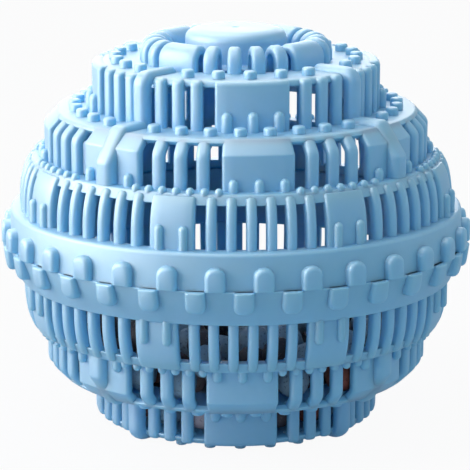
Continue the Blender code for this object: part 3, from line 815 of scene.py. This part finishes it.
BEAD_R = 3.6 * MM
BOWL_R = 41.5 * MM             # of the room inside the widest tier
LOOSE_BEADS = 100
TRIES = 260                    # places tried for each of them
POUR_SLOPE = 0.05              # how steeply the fill falls towards the back
POUR_SEED = 11
KINDS = ("clay_bead", "dark_bead", "pale_bead", "slate_bead")


def ceramic(name, colour, fleck_colour, lighter):
    """Matt fired clay with fine flecks and a pitted skin."""
    material, start = new_material(name)
    spot = start.node("ShaderNodeTexCoord", output="Object")
    cloud = noise(start, spot, 300, 3)
    grit = noise(start, spot, 1500, 3, 0.65)
    fleck = start.node("ShaderNodeMapRange", None, {0: grit, 1: 0.56, 2: 0.64})
    body = blend(start, cloud, colour, lighter)
    bump = start.node("ShaderNodeBump", None, {"Strength": 0.5, "Distance": 0.1 * MM, "Height": grit})
    end_in_principled(start, {
        "Base Color": blend(start, fleck * 0.7, body, fleck_colour),
        "Roughness": 0.62 + grit * 0.2,
        "Normal": bump,
    })
    return material


def handful_of_beads():
    """Nodes that set a hand-rolled bead on each point, turned and scaled at random."""
    tree = bpy.data.node_groups.new("handful_of_beads", "GeometryNodeTree")
    for name, kind in (("Spots", "Geometry"), ("Radius", "Float"),
                       ("Seed", "Int"), ("Material", "Material")):
        tree.interface.new_socket(name, in_out="INPUT", socket_type="NodeSocket" + kind)
    tree.interface.new_socket("Beads", in_out="OUTPUT", socket_type="NodeSocketGeometry")
    start = Wire(tree)
    given = tree.nodes.new("NodeGroupInput").outputs
    spots, radius, seed, material = [Wire(tree, socket) for socket in list(given)[:4]]
    ball = start.node("GeometryNodeMeshUVSphere", None, {"Segments": 10, "Rings": 7, "Radius": radius})
    turn = start.node("FunctionNodeRandomValue", {"data_type": "FLOAT_VECTOR"},
                      {1: (2 * pi, 2 * pi, 2 * pi), "Seed": seed})
    size = start.node("FunctionNodeRandomValue", None, {2: 0.93, 3: 1.0, "Seed": seed + 7}, 1)
    beads = start.node("GeometryNodeInstanceOnPoints", None,
                       {"Points": spots, "Instance": ball, "Rotation": turn, "Scale": size})
    beads = start.node("GeometryNodeRealizeInstances", None, {0: beads})
    beads = start.node("GeometryNodeSetShadeSmooth", None, {0: beads})
    beads = start.node("GeometryNodeSetMaterial", None, {"Geometry": beads, "Material": material})
    start.node("NodeGroupOutput", None, {0: beads})
    return tree


def lowest_centre(across):
    """How low a bead's centre can lie at these distances from the axis, on the base or on a ledge."""
    lowest = np.full_like(across, SEAM_Z - BASE_DEPTH + WALL + BEAD_R)
    for ledge_r, ledge_h in ((NECK_R - RIB_DEPTH, SHOULDER_TOP), (SHOULDER_R - RIB_DEPTH, BELT_TOP)):
        overhang = np.clip(ledge_r - across, 0, BEAD_R)
        on_ledge = SEAM_Z - ledge_h + WALL + np.sqrt(BEAD_R ** 2 - overhang ** 2)
        lowest = np.where(overhang < BEAD_R, np.maximum(lowest, on_ledge), lowest)
    return lowest


def poured_in(centres, count, random):
    """Adds beads, each let down on those that are there, in the lowest of many places tried."""
    for _ in range(count):
        across = (BOWL_R - BEAD_R) * np.sqrt(random.random(TRIES))
        turn = 2 * pi * random.random(TRIES)
        spots = np.stack([across * np.cos(turn), across * np.sin(turn), lowest_centre(across)], 1)
        apart = np.linalg.norm(spots[:, None, :2] - centres[None, :, :2], axis=2)
        over = centres[:, 2] + np.sqrt(np.maximum((2 * BEAD_R) ** 2 - apart ** 2, 0))
        over = np.where(apart < 2 * BEAD_R, over, 0)
        spots[:, 2] = np.maximum(spots[:, 2], over.max(axis=1))
        slope = spots[:, 2] + POUR_SLOPE * spots[:, 1]
        centres = np.vstack([centres, spots[slope.argmin()]])
    return centres


BEAD_MATERIALS = {
    "clay_bead": ceramic("fired_clay", (0.26, 0.07, 0.045, 1), (0.11, 0.03, 0.02, 1), (0.37, 0.12, 0.075, 1)),
    "dark_bead": ceramic("dark_clay", (0.035, 0.032, 0.04, 1), (0.14, 0.12, 0.12, 1), (0.07, 0.06, 0.07, 1)),
    "pale_bead": ceramic("pale_clay", (0.46, 0.36, 0.37, 1), (0.24, 0.17, 0.18, 1), (0.62, 0.53, 0.53, 1)),
    "slate_bead": ceramic("slate_clay", (0.30, 0.47, 0.57, 1), (0.12, 0.20, 0.25, 1), (0.44, 0.61, 0.70, 1)),
}
# Of the loose beads up to each level, how large a share is of each kind, in the order of KINDS.
SHARES = {
    0.2: (0.46, 0.38, 0.10, 0.06),
    0.5: (0.10, 0.30, 0.24, 0.36),
    1.0: (0.0, 0.28, 0.08, 0.64),
}
random = np.random.default_rng(POUR_SEED)
homes = {kind: [node for node in frame["nodes"] if node.startswith(kind)] for kind in KINDS}
spots = {kind: [sum(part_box(node), Vector()) / 2 for node in homes[kind]] for kind in KINDS}
kept = [spot for kind in KINDS for spot in spots[kind]]
centres = poured_in(np.array(kept), LOOSE_BEADS, random)
loose = sorted(centres[len(kept):].tolist(), key=lambda spot: spot[2])
for i, spot in enumerate(loose):
    share = next(SHARES[level] for level in SHARES if i <= level * len(loose))
    spots[random.choice(KINDS, p=share)].append(spot)

HANDFUL_OF_BEADS = handful_of_beads()
for seed, kind in enumerate(KINDS):
    points = bpy.data.meshes.new("spots")
    points.from_pydata(spots[kind], [], [])
    values = {"Radius": BEAD_R, "Seed": seed, "Material": BEAD_MATERIALS[kind]}
    beads = bpy.data.objects.new(kind + "s", grown(points, HANDFUL_OF_BEADS, values))
    bpy.context.scene.collection.objects.link(beads)
    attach(beads, "lower_shell")
    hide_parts(*homes[kind])

# Floor, light and camera
# A white floor in a white room, with soft light from above and from the left, broad lamps that show
# only as a white sheen, and the camera a little above the ball, as in the photograph.

FLOOR_R = 12.0
FLOOR_THICKNESS = 0.02
FLOOR_SIDES = 48
CAMERA_AWAY = 486.6 * MM       # from the ball's axis
CAMERA_RISE = 115.0 * MM       # above the seam
CAMERA_TURN = -1.9             # degrees from the front


def seen_white(start):
    """How white the surroundings are: wholly to the camera, and partly in a reflection."""
    paths = start.tree.nodes.new("ShaderNodeLightPath").outputs
    direct, reflected = [Wire(start.tree, paths[name]) for name in ("Is Camera Ray", "Is Glossy Ray")]
    return start.maths("MINIMUM", direct + reflected * 0.3, 1.0)


def white_floor():
    """White paper, with a little of the shadow that the ball throws on it."""
    material, start = new_material("white_floor")
    spot = start.node("ShaderNodeTexCoord", output="Object")
    tone = blend(start, noise(start, spot, 3), (0.74, 0.78, 0.84, 1), (0.78, 0.82, 0.88, 1))
    paper = start.node("ShaderNodeBsdfDiffuse", None, {"Color": tone})
    glow = start.node("ShaderNodeEmission", None, {"Color": (1, 1, 1, 1), "Strength": 1.0})
    surface = start.node("ShaderNodeMixShader", None, {0: seen_white(start) * 0.94, 1: paper, 2: glow})
    start.node("ShaderNodeOutputMaterial", None, {"Surface": surface})
    return material


floor_data = loft([[place(FLOOR_R, height, 360 * k / FLOOR_SIDES) for k in range(FLOOR_SIDES)]
                   for height in (0, -FLOOR_THICKNESS)])
floor_data.materials.append(white_floor())
floor = bpy.data.objects.new("floor", floor_data)
bpy.context.scene.collection.objects.link(floor)

world = bpy.data.worlds.new("white_room")
world.use_nodes = True
world.node_tree.nodes.clear()
room = Wire(world.node_tree)
sky = room.node("ShaderNodeBackground", None, {"Color": (0.93, 0.96, 1, 1), "Strength": 0.5})
white = room.node("ShaderNodeBackground", None, {"Color": (1, 1, 1, 1), "Strength": 1.0})
lit = room.node("ShaderNodeMixShader", None, {0: seen_white(room), 1: sky, 2: white})
room.node("ShaderNodeOutputWorld", None, {"Surface": lit})
bpy.context.scene.world = world


def aim_at_seam(thing):
    """Points a lamp or a camera at the middle of the ball, on the level of its seam."""
    to_seam = Vector((0, 0, SEAM_Z)) - thing.location
    thing.rotation_euler = to_seam.to_track_quat("-Z", "Y").to_euler()


def soft_light(name, position, size, watts, sheen_only=False):
    """A round lamp aimed at the ball. With sheen_only it shows in reflections and lights nothing else."""
    data = bpy.data.lights.new(name, "AREA")
    data.shape = "DISK"
    data.size = size
    data.energy = watts
    lamp = bpy.data.objects.new(name, data)
    lamp.visible_diffuse = not sheen_only
    lamp.location = position
    aim_at_seam(lamp)
    bpy.context.scene.collection.objects.link(lamp)


soft_light("overhead", (-0.3, -0.1, 0.75), size=0.4, watts=0.8)
soft_light("left_window", (-0.7, -0.1, 0.45), size=0.5, watts=1.2)
soft_light("left_sheen", (-0.8, -0.1, 0.2), size=1.2, watts=46.0, sheen_only=True)
soft_light("right_sheen", (0.85, 0.1, 0.3), size=0.6, watts=1.2, sheen_only=True)
soft_light("back_sheen", (-0.1, 1.0, 0.35), size=1.0, watts=9.0, sheen_only=True)
soft_light("high_back_sheen", (-0.15, 0.45, 0.85), size=0.6, watts=9.0, sheen_only=True)
soft_light("top_sheen", (-0.2, -0.25, 0.95), size=0.8, watts=7.0, sheen_only=True)

camera_data = bpy.data.cameras.new("camera")
camera_data.sensor_width = 36
camera_data.lens = 178.3
camera_data.shift_x = -0.002
camera_data.clip_start = 0.01
camera_data.clip_end = 100
camera = bpy.data.objects.new("camera", camera_data)
camera.location = place(CAMERA_AWAY, SEAM_Z + CAMERA_RISE, CAMERA_TURN)
aim_at_seam(camera)
bpy.context.scene.collection.objects.link(camera)
bpy.context.scene.camera = camera
bpy.context.scene.view_settings.view_transform = "Standard"
